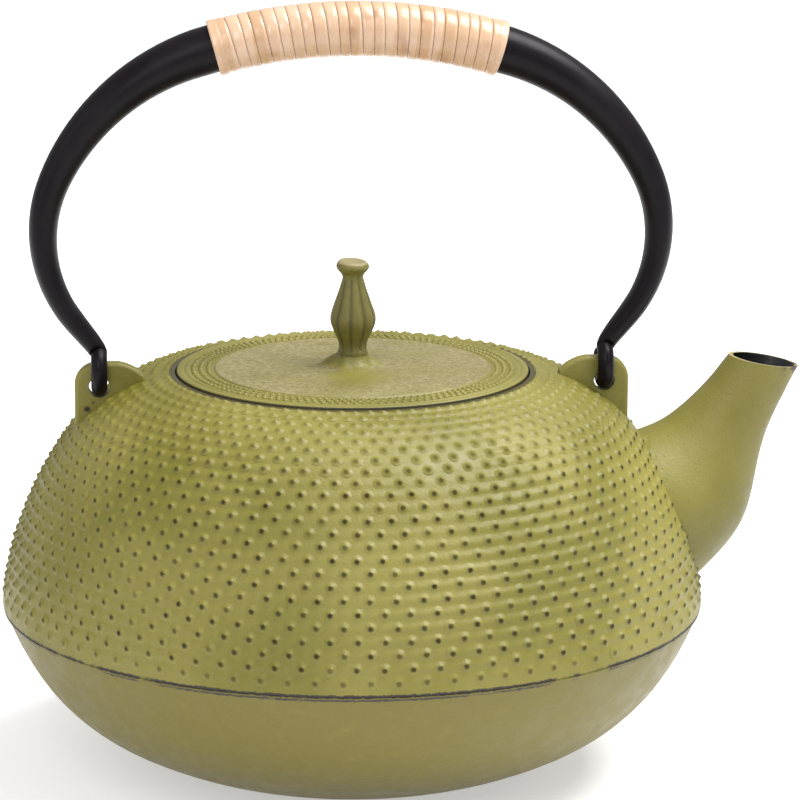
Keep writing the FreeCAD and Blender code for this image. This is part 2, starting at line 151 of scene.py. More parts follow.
# %% Finish helpers
class Finish:
    """A material with a Principled shader, and short calls that add nodes to it."""

    def __init__(self, name):
        self.material = bpy.data.materials.new(name)
        self.material.use_nodes = True
        self.tree = self.material.node_tree
        self.shader = self.tree.nodes["Principled BSDF"]
        self.place = self.add("ShaderNodeTexCoord").outputs["Object"]

    def add(self, kind, inputs=None, **settings):
        node = self.tree.nodes.new(kind)
        for setting, choice in settings.items():
            setattr(node, setting, choice)
        for socket, source in (inputs or {}).items():
            if isinstance(source, bpy.types.NodeSocket):
                self.tree.links.new(source, node.inputs[socket])
            else:
                node.inputs[socket].default_value = source
        return node

    def maths(self, operation, first, second=0.0, third=0.0, clamp=False):
        node = self.add("ShaderNodeMath", {0: first, 1: second, 2: third}, operation=operation)
        node.use_clamp = clamp
        return node.outputs[0]

    def times(self, first, *others):
        for other in others:
            first = self.maths("MULTIPLY", first, other)
        return first

    def step(self, amount, low, high, start=0.0, end=1.0):
        """A soft step: start where amount is at low, end where it is at high."""
        node = self.add("ShaderNodeMapRange", {"Value": amount, "From Min": low, "From Max": high,
                                               "To Min": start, "To Max": end})
        node.interpolation_type = "SMOOTHSTEP"
        return node.outputs["Result"]

    def noise(self, scale, detail=2.0, roughness=0.5, stretch=None):
        place = self.place
        if stretch:
            mapping = self.add("ShaderNodeMapping", {"Vector": place})
            mapping.inputs["Scale"].default_value = stretch
            place = mapping.outputs["Vector"]
        node = self.add("ShaderNodeTexNoise", {"Vector": place, "Scale": scale, "Detail": detail,
                                               "Roughness": roughness})
        return node.outputs["Fac"]

    def tint(self, share, first, second):
        node = self.add("ShaderNodeMix", data_type="RGBA")
        for socket, source in ((node.inputs[0], share), (node.inputs[6], first),
                               (node.inputs[7], second)):
            if isinstance(source, bpy.types.NodeSocket):
                self.tree.links.new(source, socket)
            else:
                socket.default_value = source
        return node.outputs[2]

    def bump(self, height, distance, strength=1.0, under=None):
        inputs = {"Height": height, "Distance": distance, "Strength": strength}
        if under:
            inputs["Normal"] = under
        return self.add("ShaderNodeBump", inputs).outputs["Normal"]

    def join(self, **sockets):
        """Joins or fills the shader's own sockets; an underscore stands for a space."""
        for name, source in sockets.items():
            socket = self.shader.inputs[name.replace("_", " ")]
            if isinstance(source, bpy.types.NodeSocket):
                self.tree.links.new(source, socket)
            else:
                socket.default_value = source
        return self.material


def colour(red, green, blue):
    """A colour given as the eye reads it, 0 to 255, in the linear values that nodes want."""
    linear = []
    for part in (red, green, blue):
        share = part / 255
        linear.append(share / 12.92 if share <= 0.04045 else ((share + 0.055) / 1.055) ** 2.4)
    return (*linear, 1.0)


# %% [markdown]
# ## The green enamel: measures and colours
#
# The casting is sprayed with a satin olive enamel, a little uneven, over a faintly grainy iron
# skin. It is rubbed dark where a hand or a cloth catches it: on the tip of each dot and along the
# shell's edge; the dark of each dot's tip sits towards its shaded side and is partly painted shade.
# Painted shade also darkens the bowl's foot, the spout, the lid's side and gap, and the knob.
# Inside, and down the spout, the pot is lined in black. One finish covers the pot and its dots, so
# the join between them can't show. Painted masks would need a flat map of a casting that has none,
# so each mask is found from measures on the pot instead, named here.

# %% Enamel measures and colours
lip_height = 47.0 * MM
belly_radius = -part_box("kettle_body")[0].x
spout_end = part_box("kettle_body")[1].x
lid_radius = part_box("lid_plate")[1].x

# the shell's two arcs: they tell inside from outside, and how far down from the mouth a place is
SHELL_ARC = 99.0 * MM
SHELL_ARC_HEIGHT = 34.8 * MM
SHELL_ARC_INSIDE = 2.4 * MM
SHOULDER_ARC = 41.5 * MM
SHOULDER_HEIGHT = 68.8 * MM
SHOULDER_REACH = 43.9 * MM
SHOULDER_START = math.radians(36.3)
MOUTH_CLIMB = 96.0 * MM
MOUTH_EDGE = 49.4 * MM
ROW_STEP = 3.45 * MM
FIRST_ROW = 1.2 * MM
# how far the masks reach past the shell's arc: outside, and inside its wall
SKIN_OUTSIDE = 1.4 * MM
SKIN_INSIDE = 1.5 * MM

EAR_HALF = 2.3 * MM
EAR_FOOT = 98.0 * MM
EAR_PITS = (((-72.0 * MM, -2.6 * MM, 100.6 * MM), 1.3 * MM),
            ((-70.3 * MM, -2.6 * MM, 102.4 * MM), 0.8 * MM))

# the spout's mouth: its middle leans outwards as it rises
SPOUT_HEIGHT = 111.3 * MM
SPOUT_MIDDLE = 112.8 * MM
SPOUT_HALF = 9.7 * MM
SPOUT_HALF_WIDTH = 8.0 * MM
SPOUT_LEAN = 0.62
SPOUT_DEPTH = 14.0 * MM
CHIP_DEPTH = 3.2 * MM
FACES_UP = 0.72

# the lid and the knob
FIELD_RADIUS = 37.4 * MM
FIELD_TOP = 111.4 * MM
SIDE_TOP = 110.45 * MM
PLATE_FOOT = 109.0 * MM
KNOB_FOOT = 113.5 * MM
FLUTE_TOP = 134.5 * MM
CAP_FOOT = 138.6 * MM
RIBS = 9

OLIVE = colour(103, 98, 28)
OLIVE_PALE = colour(122, 115, 50)
OLIVE_BOWL = colour(102, 93, 30)
# a deeper olive, also used as painted shade along the spout
OLIVE_DEEP_AND_SHADE = colour(74, 66, 10)
# dark wear, and also the colour of painted shade at the bowl's foot, the lid's side and gap, the
# mouth and the knob
DARK_WEAR_AND_SHADE = colour(40, 32, 12)
EDGE_WEAR = colour(44, 38, 30)
LINING = colour(24, 23, 24)
RUST = colour(58, 36, 26)
BARE_LIP = colour(170, 156, 120)
LID_FIELD = colour(148, 137, 98)
LID_FIELD_DARK = colour(116, 107, 60)

# %% [markdown]
# ## The green enamel: the sprayed coat
#
# What pot, dots and lid share: a cloudy coat with fine specks, pinholes in the casting, and the
# worn tips of the dots, whose dark spot sits towards their shaded side and is partly painted shade.
# Each part of the finish is one function that gives a mask or a colour, so that it can be read and
# changed alone. The place on the pot is worked out once for all of them.

# %% The sprayed coat
def read_place(finish):
    """Adds what the masks are made from: height, reach from the axis, and the way a place faces."""
    finish.x, finish.y, finish.height = finish.add("ShaderNodeSeparateXYZ",
                                                   {"Vector": finish.place}).outputs
    finish.level = finish.add("ShaderNodeVectorMath", {0: finish.place, 1: (1.0, 1.0, 0.0)},
                              operation="MULTIPLY").outputs[0]
    finish.reach = finish.add("ShaderNodeVectorMath", {0: finish.level},
                              operation="LENGTH").outputs["Value"]
    finish.facing = finish.add("ShaderNodeNewGeometry").outputs["Normal"]
    finish.normals = finish.add("ShaderNodeSeparateXYZ", {"Vector": finish.facing}).outputs


def sprayed_coat(finish, mottle, on_lid):
    """The enamel's colour: cloudy, duller on the bowl, darker at its foot as painted shade, and a
    deeper olive on the spout that is also painted shade.
    """
    tone = finish.tint(finish.step(finish.noise(22.0, 3.0), 0.35, 0.65), OLIVE, OLIVE_PALE)
    if not on_lid:
        bowl = finish.step(finish.height, lip_height - 0.4 * MM, lip_height - 1.0 * MM)
        tone = finish.tint(bowl, tone, OLIVE_BOWL)
        # painted shade: the bowl darkens towards its foot
        foot = finish.step(finish.height, 30.0 * MM, 2.0 * MM, 0.0, 0.36)
        tone = finish.tint(foot, tone, DARK_WEAR_AND_SHADE)
        # a deeper olive along the spout, which is also painted shade
        spout = finish.step(finish.x, 82.0 * MM, 104.0 * MM, 0.0, 0.34)
        tone = finish.tint(spout, tone, OLIVE_DEEP_AND_SHADE)
    tone = finish.tint(finish.step(mottle, 0.52, 0.80, 0.0, 0.35), tone, OLIVE_PALE)
    speck = finish.step(finish.noise(1500.0, 2.0, 0.6), 0.60, 0.80, 0.0, 0.30)
    return finish.tint(speck, tone, DARK_WEAR_AND_SHADE)


def casting_holes(finish):
    """Small pinholes, few and dark, as sand casting leaves them, and two pits beside an ear."""
    cells = finish.add("ShaderNodeTexVoronoi", {"Vector": finish.place, "Scale": 90.0})
    pick = finish.add("ShaderNodeSeparateColor", {"Color": cells.outputs["Color"]}).outputs[0]
    holes = finish.times(finish.step(cells.outputs["Distance"], 0.07, 0.03),
                         finish.step(pick, 0.955, 0.965))
    for pit_place, pit_reach in EAR_PITS:
        away = finish.add("ShaderNodeVectorMath", {0: finish.place, 1: pit_place},
                          operation="DISTANCE").outputs["Value"]
        pit = finish.step(away, pit_reach, pit_reach * 0.45)
        holes = finish.maths("MAXIMUM", holes, pit)
    return holes


def rubbed_and_shaded_tips(finish, dot_map):
    """The rubbed tips of the dots, a little below and left of their middles, on their shaded side,
    so the dark spot is partly painted shade; more worn on some than on others.
    """
    aside = finish.maths("POWER", finish.maths("SUBTRACT", dot_map[0], 0.48), 2.0)
    below = finish.maths("POWER", finish.maths("SUBTRACT", dot_map[1], 0.44), 2.0)
    away = finish.maths("SQRT", finish.maths("ADD", aside, below))
    away = finish.maths("ADD", away, finish.times(finish.noise(2600.0, 2.0), 0.16))
    worn = finish.add("ShaderNodeAttribute", attribute_name="worn").outputs["Fac"]
    return finish.times(finish.step(away, 0.37, 0.17), worn)


# %% [markdown]
# ## The green enamel: the lid
#
# The lid's middle field is rubbed thin and mottled, all but a greener patch just in front of the
# knob. Its side and underside are darkened with painted shade, for the shadow of the gap under its
# rim. The knob is darkened with painted shade, more in its flutes, and its dished top is worn like
# the field. These could be separate materials, but soft borders need one.

# %% The lid's touches
def lid_field(finish):
    """Where the lid's field is worn: inside its groove, level, and not in front of the knob."""
    front = finish.times(finish.step(finish.reach, 30.0 * MM, 14.0 * MM),
                         finish.step(finish.y, -3.0 * MM, -11.0 * MM),
                         finish.step(finish.maths("ABSOLUTE", finish.x), 12.0 * MM, 5.0 * MM))
    inside = finish.step(finish.reach, FIELD_RADIUS + 0.2 * MM, FIELD_RADIUS - 0.4 * MM)
    return finish.times(inside, finish.maths("SUBTRACT", 1.0, front),
                        finish.step(finish.height, FIELD_TOP + 0.5 * MM, FIELD_TOP))


def knob_touches(finish, tone):
    """The knob: darkened with painted shade, streaks, more painted shade in the flutes, and a worn
    top.
    """
    above = finish.step(finish.height, KNOB_FOOT, KNOB_FOOT + 1.5 * MM)
    # painted shade over the whole knob above its foot
    tone = finish.tint(finish.times(above, 0.24), tone, DARK_WEAR_AND_SHADE)
    streak = finish.noise(1500.0, 3.0, 0.6, stretch=(1, 1, 0.07))
    streak = finish.step(streak, 0.46, 0.70, 0.0, 0.22)
    tone = finish.tint(finish.times(streak, above), tone, DARK_WEAR_AND_SHADE)
    # painted shade in the flutes between the ribs
    azimuth = finish.maths("ARCTAN2", finish.y, finish.x)
    wave = finish.maths("COSINE", finish.times(azimuth, RIBS / 2))
    flute = finish.times(finish.step(finish.maths("ABSOLUTE", wave), 0.72, 0.0, 0.0, 0.50),
                         finish.step(finish.height, FLUTE_TOP + 2.5 * MM, FLUTE_TOP), above)
    tone = finish.tint(flute, tone, DARK_WEAR_AND_SHADE)
    cap = finish.times(finish.step(finish.height, CAP_FOOT, CAP_FOOT + 0.8 * MM),
                       finish.step(finish.normals[2], 0.45, 0.75))
    return finish.tint(finish.times(cap, 0.8), tone, LID_FIELD)


def lid_touches(finish, tone, normal):
    """The rubbed, mottled field, the side and underside darkened with painted shade, then the knob.
    """
    inside = lid_field(finish)
    cloud = finish.step(finish.noise(620.0, 4.0, 0.75), 0.36, 0.66)
    wear = finish.step(finish.noise(75.0, 2.0), 0.38, 0.60, 0.50, 0.85)
    field = finish.tint(cloud, LID_FIELD_DARK, LID_FIELD)
    tone = finish.tint(finish.times(inside, wear), tone, field)
    fleck = finish.step(finish.noise(1100.0, 3.0, 0.7), 0.56, 0.68, 0.0, 0.62)
    tone = finish.tint(finish.times(fleck, inside), tone, DARK_WEAR_AND_SHADE)
    # painted shade: the lid's side and underside, in the shadow of the gap under its rim
    side = finish.times(finish.maths("GREATER_THAN", finish.reach, lid_radius - 0.08 * MM),
                        finish.step(finish.height, SIDE_TOP + 0.17 * MM, SIDE_TOP))
    underside = finish.maths("LESS_THAN", finish.height, PLATE_FOOT)
    lid_gap_shade = finish.times(finish.maths("MAXIMUM", side, underside), 0.88)
    tone = finish.tint(lid_gap_shade, tone, DARK_WEAR_AND_SHADE)
    normal = finish.bump(finish.times(cloud, inside), 0.08 * MM, 1.0, under=normal)
    return knob_touches(finish, tone), normal


# %% [markdown]
# ## The green enamel: the pot
#
# The shell has faint ridges that join the dots of a row, a worn double line along its edge and a
# dark line of painted shade round its mouth, where the lid's gap is in shadow. The black lining is
# found from which way a surface faces: outside, the wall faces away from the pot's axis, inside it
# faces towards it. The spout's bore is found the same way about the spout's own middle, and its lip
# is thin, pale and chipped.

# %% The pot's touches
def shell_arc_reach(finish):
    """How far the shell's lower arc stands from its centre at each height."""
    rise = finish.maths("POWER", finish.maths("SUBTRACT", finish.height, SHELL_ARC_HEIGHT), 2.0)
    return finish.maths("SQRT", finish.maths("SUBTRACT", SHELL_ARC ** 2, rise))


def row_ridges(finish, arc_reach):
    """A wave down the shell that peaks on each row, weaker in patches and towards the left."""
    lower = finish.maths("ARCTAN2", finish.maths("SUBTRACT", finish.height, SHELL_ARC_HEIGHT),
                         finish.maths("ADD", finish.reach, SHELL_ARC_INSIDE))
    upper = finish.maths("ARCTAN2", finish.maths("SUBTRACT", finish.height, SHOULDER_HEIGHT),
                         finish.maths("SUBTRACT", finish.reach, SHOULDER_REACH))
    climbed = finish.times(finish.maths("MINIMUM", lower, SHOULDER_START), SHELL_ARC)
    upper = finish.maths("MAXIMUM", finish.maths("SUBTRACT", upper, SHOULDER_START), 0.0)
    climbed = finish.maths("MULTIPLY_ADD", upper, SHOULDER_ARC, climbed)
    rows_down = finish.maths("DIVIDE", finish.maths("SUBTRACT", MOUTH_CLIMB - FIRST_ROW, climbed),
                             ROW_STEP)
    wave = finish.maths("COSINE", finish.times(rows_down, math.tau))
    on_shell = finish.maths("LESS_THAN", finish.reach,
                            finish.maths("SUBTRACT", arc_reach, SHELL_ARC_INSIDE - SKIN_OUTSIDE))
    return finish.times(wave, on_shell,
                        finish.step(finish.noise(28.0, 2.0), 0.40, 0.62, 0.25, 1.0),
                        finish.step(finish.x, -70.0 * MM, -15.0 * MM, 0.2, 1.0),
                        finish.step(finish.height, lip_height, lip_height + 8 * MM))


def edge_lines(finish):
    """The shell's edge: one worn line along the lip and a broken one just under it."""
    patchy = finish.noise(70.0, 3.0, 0.6, stretch=(1, 1, 0.2))
    ragged = finish.maths("MULTIPLY_ADD", finish.noise(900.0, 3.0, 0.6), 1.1 * MM, finish.height)
    lines = []
    for middle, outside, inside, weak, strong in (
            # above the lip, half widths where the line ends and is full, where it breaks off
            (0.30 * MM, 0.60 * MM, 0.32 * MM, 0.36, 0.46),
            (-0.80 * MM, 0.50 * MM, 0.22 * MM, 0.42, 0.52)):
        offset = finish.maths("SUBTRACT", ragged, lip_height + middle)
        line = finish.step(finish.maths("ABSOLUTE", offset), outside, inside)
        lines.append(finish.times(line, finish.step(patchy, weak, strong)))
    return finish.maths("ADD", *lines, clamp=True)


def mouth_gap_shade(finish):
    """Painted shade: a dark line round the mouth, where the lid's gap is in shadow."""
    return finish.times(finish.step(finish.reach, MOUTH_EDGE + 0.55 * MM, MOUTH_EDGE + 0.30 * MM),
                        finish.maths("GREATER_THAN", finish.height, EAR_FOOT), 0.8)


def lined_inside(finish, arc_reach, dot_map):
    """The pot's inside: within the wall, off the ears and the dots, facing the axis or upwards."""
    turned = finish.add("ShaderNodeVectorMath", {0: finish.level, 1: finish.facing},
                        operation="DOT_PRODUCT").outputs["Value"]
    inward = finish.maths("LESS_THAN", turned, -0.004 * belly_radius)
    floor_inside = finish.times(finish.maths("LESS_THAN", finish.reach, lid_radius - 0.2 * MM),
                                finish.maths("GREATER_THAN", finish.height, 3.0 * MM),
                                finish.maths("GREATER_THAN", finish.normals[2], 0.0))
    within = finish.maths("LESS_THAN", finish.reach,
                          finish.maths("SUBTRACT", arc_reach, SHELL_ARC_INSIDE + SKIN_INSIDE))
    off_ear = finish.maths("GREATER_THAN", finish.maths("ABSOLUTE", finish.y), EAR_HALF)
    off_ear = finish.maths("MAXIMUM", off_ear,
                           finish.maths("LESS_THAN", finish.height, EAR_FOOT))
    off_dot = finish.maths("LESS_THAN", finish.maths("ADD", dot_map[0], dot_map[1]), 0.01)
    return finish.times(within, off_ear, off_dot, finish.maths("MAXIMUM", inward, floor_inside))


def spout_mouth(finish, tone):
    """The pale, chipped lip; it gives the colour, and the mask of the black bore."""
    slope = finish.times(finish.maths("SUBTRACT", finish.height, SPOUT_HEIGHT), SPOUT_LEAN)
    along = finish.maths("SUBTRACT", finish.maths("SUBTRACT", finish.x, SPOUT_MIDDLE), slope)
    long_share = finish.maths("DIVIDE", along, SPOUT_HALF)
    wide_share = finish.maths("DIVIDE", finish.y, SPOUT_HALF_WIDTH)
    ring = finish.maths("ADD", finish.maths("POWER", long_share, 2.0),
                        finish.maths("POWER", wide_share, 2.0))
    at_spout = finish.times(finish.maths("GREATER_THAN", finish.height, SPOUT_HEIGHT - SPOUT_DEPTH),
                            finish.maths("GREATER_THAN", finish.x, belly_radius))
    # the bore's wall faces the spout's own middle
    towards = finish.maths("MULTIPLY_ADD", along, finish.normals[0],
                           finish.times(finish.y, finish.normals[1]))
    wall = finish.times(finish.maths("LESS_THAN", towards, -1.0 * MM),
                        finish.maths("LESS_THAN", finish.normals[2], FACES_UP))
    bore = finish.times(at_spout, finish.maths("MAXIMUM", finish.step(ring, 0.88, 0.83), wall))
    rim = finish.times(at_spout, finish.step(ring, 0.80, 0.88), 0.4,
                       finish.maths("GREATER_THAN", finish.normals[2], FACES_UP))
    tone = finish.tint(rim, tone, BARE_LIP)
    chip = finish.times(at_spout, finish.step(finish.noise(420.0, 3.0), 0.42, 0.50),
                        finish.step(finish.x, spout_end - 7.0 * MM, spout_end - 3.0 * MM),
                        finish.maths("GREATER_THAN", finish.height, SPOUT_HEIGHT - CHIP_DEPTH))
    return finish.tint(chip, tone, RUST), bore


# %% [markdown]
# ## The green enamel: put together
#
# The coat comes first, then wear, then what only the lid or only the pot has. The bump follows
# the same order, each layer on top of the one before, so that the fine grain stays visible on
# the ridges. The lid has its own copy of the finish, without the pot's masks.

# %% Make the enamel
def make_enamel(name, on_lid=False):
    """The whole finish, for the pot and its dots or for the lid and its knob."""
    finish = Finish(name)
    read_place(finish)
    mottle = finish.noise(160.0, 4.0, 0.6)
    holes = casting_holes(finish)
    dot_map = finish.add("ShaderNodeUVMap", uv_map="dot").outputs["UV"]
    dot_map = finish.add("ShaderNodeSeparateXYZ", {"Vector": dot_map}).outputs
    # the dots' rubbed tips, partly painted shade on their lower left side
    tip_wear_and_shade = rubbed_and_shaded_tips(finish, dot_map)
    tone = sprayed_coat(finish, mottle, on_lid)
    tone = finish.tint(holes, tone, DARK_WEAR_AND_SHADE)
    tone = finish.tint(tip_wear_and_shade, tone, DARK_WEAR_AND_SHADE)
    grain = finish.maths("ADD", finish.noise(1500.0, 3.0, 0.65), mottle)
    normal = finish.bump(finish.maths("SUBTRACT", grain, holes), 0.17 * MM, 0.85)
    rough = finish.step(mottle, 0.3, 0.7, 0.42, 0.56)
    if on_lid:
        tone, normal = lid_touches(finish, tone, normal)
        return finish.join(Base_Color=tone, Roughness=rough, Normal=normal,
                           Specular_IOR_Level=0.5)

    arc_reach = shell_arc_reach(finish)
    normal = finish.bump(row_ridges(finish, arc_reach), 0.15 * MM, 1.0, under=normal)
    tone = finish.tint(edge_lines(finish), tone, EDGE_WEAR)
    # painted shade round the mouth, for the shadow of the lid's gap
    tone = finish.tint(mouth_gap_shade(finish), tone, DARK_WEAR_AND_SHADE)
    tone, bore = spout_mouth(finish, tone)
    lined = finish.maths("MAXIMUM", lined_inside(finish, arc_reach, dot_map), bore)
    tone = finish.tint(lined, tone, LINING)
    rough = finish.maths("SUBTRACT", rough, finish.times(lined, 0.14))
    shine = finish.maths("SUBTRACT", 0.42, finish.times(tip_wear_and_shade, 0.32))
    return finish.join(Base_Color=tone, Roughness=rough, Normal=normal, Specular_IOR_Level=shine)


green = make_enamel("green_enamel")
green_lid = make_enamel("green_enamel_lid", on_lid=True)
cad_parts["kettle_body"].data.materials.clear()
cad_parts["kettle_body"].data.materials.append(green)
print("belly radius", round(belly_radius / MM, 1), "mm, lid radius", round(lid_radius / MM, 1))

# %% [markdown]
# ## The dots on the shell
#
# The upper shell carries rows of small pointed dots. Every row has the same number of them, so
# they crowd together towards the lid, and each row is shifted half a step from the next, which
# makes the diamond pattern. One dot is a few rings of vertices: it is made once, then copied to
# each place and turned to the surface there. The place is found by shooting a ray at the cast
# body from outside, so where the spout or an ear stands in the way the ray says so and the dot is
# left out, just as the mould maker leaves it out.

# %% Find the shell
DOTS_PER_ROW = 85
ROWS = 24
CLEAR_AZIMUTH = math.radians(-90)

shell_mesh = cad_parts["kettle_body"].data
body_shape = bmesh.new()
body_shape.from_mesh(shell_mesh)
surface = BVHTree.FromBMesh(body_shape)
body_shape.free()
mouth_radius = lid_radius + 0.5 * MM


def shell_point(azimuth, height):
    """Where a level ray from outside meets the casting, and which way the surface faces."""
    direction = Vector((math.cos(azimuth), math.sin(azimuth), 0))
    start = direction * 2 * belly_radius + Vector((0, 0, height))
    place, facing, face, distance = surface.ray_cast(start, -direction)
    return place, facing


def shell_outline():
    """The shell's outline away from spout and ears, from the mouth down: height and distance."""
    heights = np.linspace(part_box("lid_plate")[1].z, lip_height + 0.1 * MM, 3000)
    outline = []
    for height in heights:
        place, facing = shell_point(CLEAR_AZIMUTH, float(height))
        reach = math.hypot(place.x, place.y) if place else 0.0
        if reach > mouth_radius:
            outline.append((reach, float(height)))
    return outline


outline = shell_outline()
steps = [math.dist(a, b) for a, b in zip(outline, outline[1:])]
run = np.concatenate([[0.0], np.cumsum(steps)])
print("shell outline", round(float(run[-1]) / MM, 1), "mm long,", len(outline), "points")

# %% [markdown]
# ## One dot
#
# Every dot is the same small pointed bump whose foot runs out flat. It is modelled once, from a
# few rings of vertices, with a flat map that lets the enamel find its tip.

# %% Shape one dot
DOT_RADIUS = 1.85 * MM
DOT_HEIGHT = 1.05 * MM
DOT_RINGS = (0.0, 0.22, 0.45, 0.70, 1.0)
DOT_SIDES = 9
NEIGHBOUR = 0.016
JITTER = 0.035
FADED = 0.65
SINK = 0.03 * MM


def dot_height(share):
    """A pointed bump whose foot runs out flat into the shell."""
    return DOT_HEIGHT * max(0.0, 1 - share) ** 1.6 * (1 + 0.6 * share) - SINK


def make_dot():
    """The pattern for all dots, one unit in radius, with a flat map that shows where its tip is."""
    shape = bmesh.new()
    rings = []
    for share in reversed(DOT_RINGS[1:]):
        made = bmesh.ops.create_circle(shape, cap_ends=False, segments=DOT_SIDES, radius=share)
        rings.append(made["verts"])
    tip = shape.verts.new((0, 0, 0))
    for outer, inner in zip(rings, rings[1:]):
        for side in range(DOT_SIDES):
            after = (side + 1) % DOT_SIDES
            shape.faces.new((outer[side], outer[after], inner[after], inner[side]))
    for side in range(DOT_SIDES):
        shape.faces.new((rings[-1][side], rings[-1][(side + 1) % DOT_SIDES], tip))
    uv_layer = shape.loops.layers.uv.new("dot")
    for face in shape.faces:
        for loop in face.loops:
            loop[uv_layer].uv = (0.5 + loop.vert.co.x / 2, 0.5 + loop.vert.co.y / 2)
    shape.verts.layers.float.new("worn")
    for corner in shape.verts:
        corner.co.z = dot_height(math.hypot(corner.co.x, corner.co.y))
    mesh = bpy.data.meshes.new("dot_pattern")
    shape.to_mesh(mesh)
    shape.free()
    return mesh


# %% [markdown]
# ## The rows of dots
#
# The rows follow the outline measured above at even steps, every second row shifted by half a
# dot. Each dot stands square to the shell, a little out of place, taller or more worn than its
# neighbour. Where a spout or an ear covers the shell, the dot is left out.

# %% Set the dots in their rows
random.seed(11)
dot_pattern = make_dot()
reach_at = np.array([reach for reach, height in outline])
height_at = np.array([height for reach, height in outline])


def clear_shell(azimuth, height):
    """True where the shell itself is the surface, with no spout or ear beside the place."""
    expected = float(np.interp(-height, -height_at, reach_at))
    for turn in (0.0, NEIGHBOUR, -NEIGHBOUR):
        place = shell_point(azimuth + turn, height)[0]
        if not place or math.hypot(place.x, place.y) > expected + 0.3 * MM:
            return False
    return True


def dot_frames(row):
    """Where one row's dots stand, as matrices, and how worn each of them is."""
    along = FIRST_ROW + row * ROW_STEP
    row_reach = float(np.interp(along, run, reach_at))
    crowding = min(1.0, row_reach / belly_radius)
    fade = FADED if row == ROWS - 1 else 1.0
    frames = []
    wear = []
    for index in range(DOTS_PER_ROW):
        shift = 0.5 * (row % 2) + random.uniform(-JITTER, JITTER)
        azimuth = (index + shift) / DOTS_PER_ROW * math.tau
        height = float(np.interp(along + random.uniform(-0.12, 0.12) * MM, run, height_at))
        rubbed = random.betavariate(8, 1.3) * (0.06 + 0.90 * min(1.0, row / 9) ** 1.5)
        tall = random.uniform(0.85, 1.1) * fade * random.choice((1, 1, 1, 0.85))
        if not clear_shell(azimuth, height):
            continue
        place, facing = shell_point(azimuth, height)
        across = Vector((0, 0, 1)).cross(facing).normalized()
        turn = Matrix((across, facing.cross(across), facing)).transposed().to_4x4()
        size = DOT_RADIUS * (0.66 + 0.34 * crowding)
        scale = Matrix.Diagonal((size, size, tall * (0.35 + 0.65 * crowding), 1.0))
        frames.append(Matrix.Translation(place) @ turn @ scale)
        wear.append(rubbed * fade)
    return frames, wear


dots = bmesh.new()
dot_count = 0
for row in range(ROWS):
    frames, wear = dot_frames(row)
    row_shape, copies = set_copies(dot_pattern, frames)
    worn_layer = row_shape.verts.layers.float["worn"]
    for corners, rubbed in zip(copies, wear):
        for corner in corners:
            corner[worn_layer] = rubbed
    row_mesh = bpy.data.meshes.new("row")
    row_shape.to_mesh(row_mesh)
    row_shape.free()
    dots.from_mesh(row_mesh)
    bpy.data.meshes.remove(row_mesh)
    dot_count += len(frames)
finish_piece(dots, "shell_dots", "kettle", green)
print(dot_count, "dots in", ROWS, "rows")

# %% [markdown]
# ## The lip bead
#
# Where the shell ends over the bowl there is a thin raised bead under the overhang. It is turned
# like the lid: a small half-round profile spun about the pot's axis.

# %% Lip bead
BEAD_TOP = lip_height - 0.35 * MM
BEAD_HEIGHT = 1.0 * MM
BEAD_OUT = 0.38 * MM


def bead_profile():
    bowl_reach = belly_radius - 0.55 * MM
    points = []
    for step in range(7):
        angle = math.pi * step / 6 - math.pi / 2
        points.append((bowl_reach + BEAD_OUT * math.cos(angle),
                       BEAD_TOP - BEAD_HEIGHT / 2 + BEAD_HEIGHT / 2 * math.sin(angle)))
    inner = [(bowl_reach - 0.6 * MM, BEAD_TOP), (bowl_reach - 0.6 * MM, BEAD_TOP - BEAD_HEIGHT)]
    return points + inner + points[:1]


finish_piece(spun(bead_profile(), 256), "lip_bead", "kettle", green)

# %% [markdown]
# ## The lid
#
# The lid is a plain turned plate with a skirt, so its outline could simply be kept. The real one
# has a fine groove near its edge, a sunk band that holds the beads and a step up to its middle
# field, so the profile is drawn again with those in it and spun. The beads are then set on the
# band in three rows, half a step apart.

# %% Lid plate
lid_low, lid_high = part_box("lid_plate")
lid_top = lid_high.z - 0.6 * MM
dome = 0.6 * MM
BAND_OUTSIDE = 44.7 * MM
SKIRT_RADIUS = 39.8 * MM
SKIRT_WALL = 2.4 * MM
STEM_RADIUS = 2.2 * MM
PLATE = 2.7 * MM


def crown(reach):
    """The lid's own gentle dome."""
    return lid_top + dome * (1 - (reach / lid_radius) ** 2)


def lid_profile():
    points = [(STEM_RADIUS, crown(STEM_RADIUS))]
    for reach in (6, 10, 14, 18, 22, 26, 30, 33, 35):
        points.append((reach * MM, crown(reach * MM)))
    for reach, drop in ((-0.5, 0.0), (-0.2, 0.0), (0.0, 0.12), (0.2, 0.42), (0.45, 0.45),
                        (0.7, 0.24), (1.1, 0.22)):
        points.append((FIELD_RADIUS + reach * MM, crown(FIELD_RADIUS) - drop * MM))
    for reach, drop in ((-1.0, 0.24), (-0.4, 0.20), (0.0, 0.02), (0.3, -0.02), (0.6, 0.02),
                        (0.85, 0.28), (1.1, 0.30), (1.35, 0.03), (1.7, -0.02)):
        points.append((BAND_OUTSIDE + reach * MM, crown(BAND_OUTSIDE) - drop * MM))
    edge = lid_radius
    points += [(edge - 0.55 * MM, lid_top), (edge - 0.30 * MM, lid_top - 0.05 * MM),
               (edge - 0.09 * MM, lid_top - 0.20 * MM), (edge, lid_top - 0.45 * MM),
               (edge, lid_top - PLATE + 0.2 * MM), (edge - 0.2 * MM, lid_top - PLATE),
               (SKIRT_RADIUS, lid_top - PLATE), (SKIRT_RADIUS, lid_low.z + 0.3 * MM),
               (SKIRT_RADIUS - 0.3 * MM, lid_low.z), (SKIRT_RADIUS - SKIRT_WALL, lid_low.z),
               (SKIRT_RADIUS - SKIRT_WALL, lid_top - PLATE), (STEM_RADIUS, lid_top - PLATE)]
    return points + points[:1]


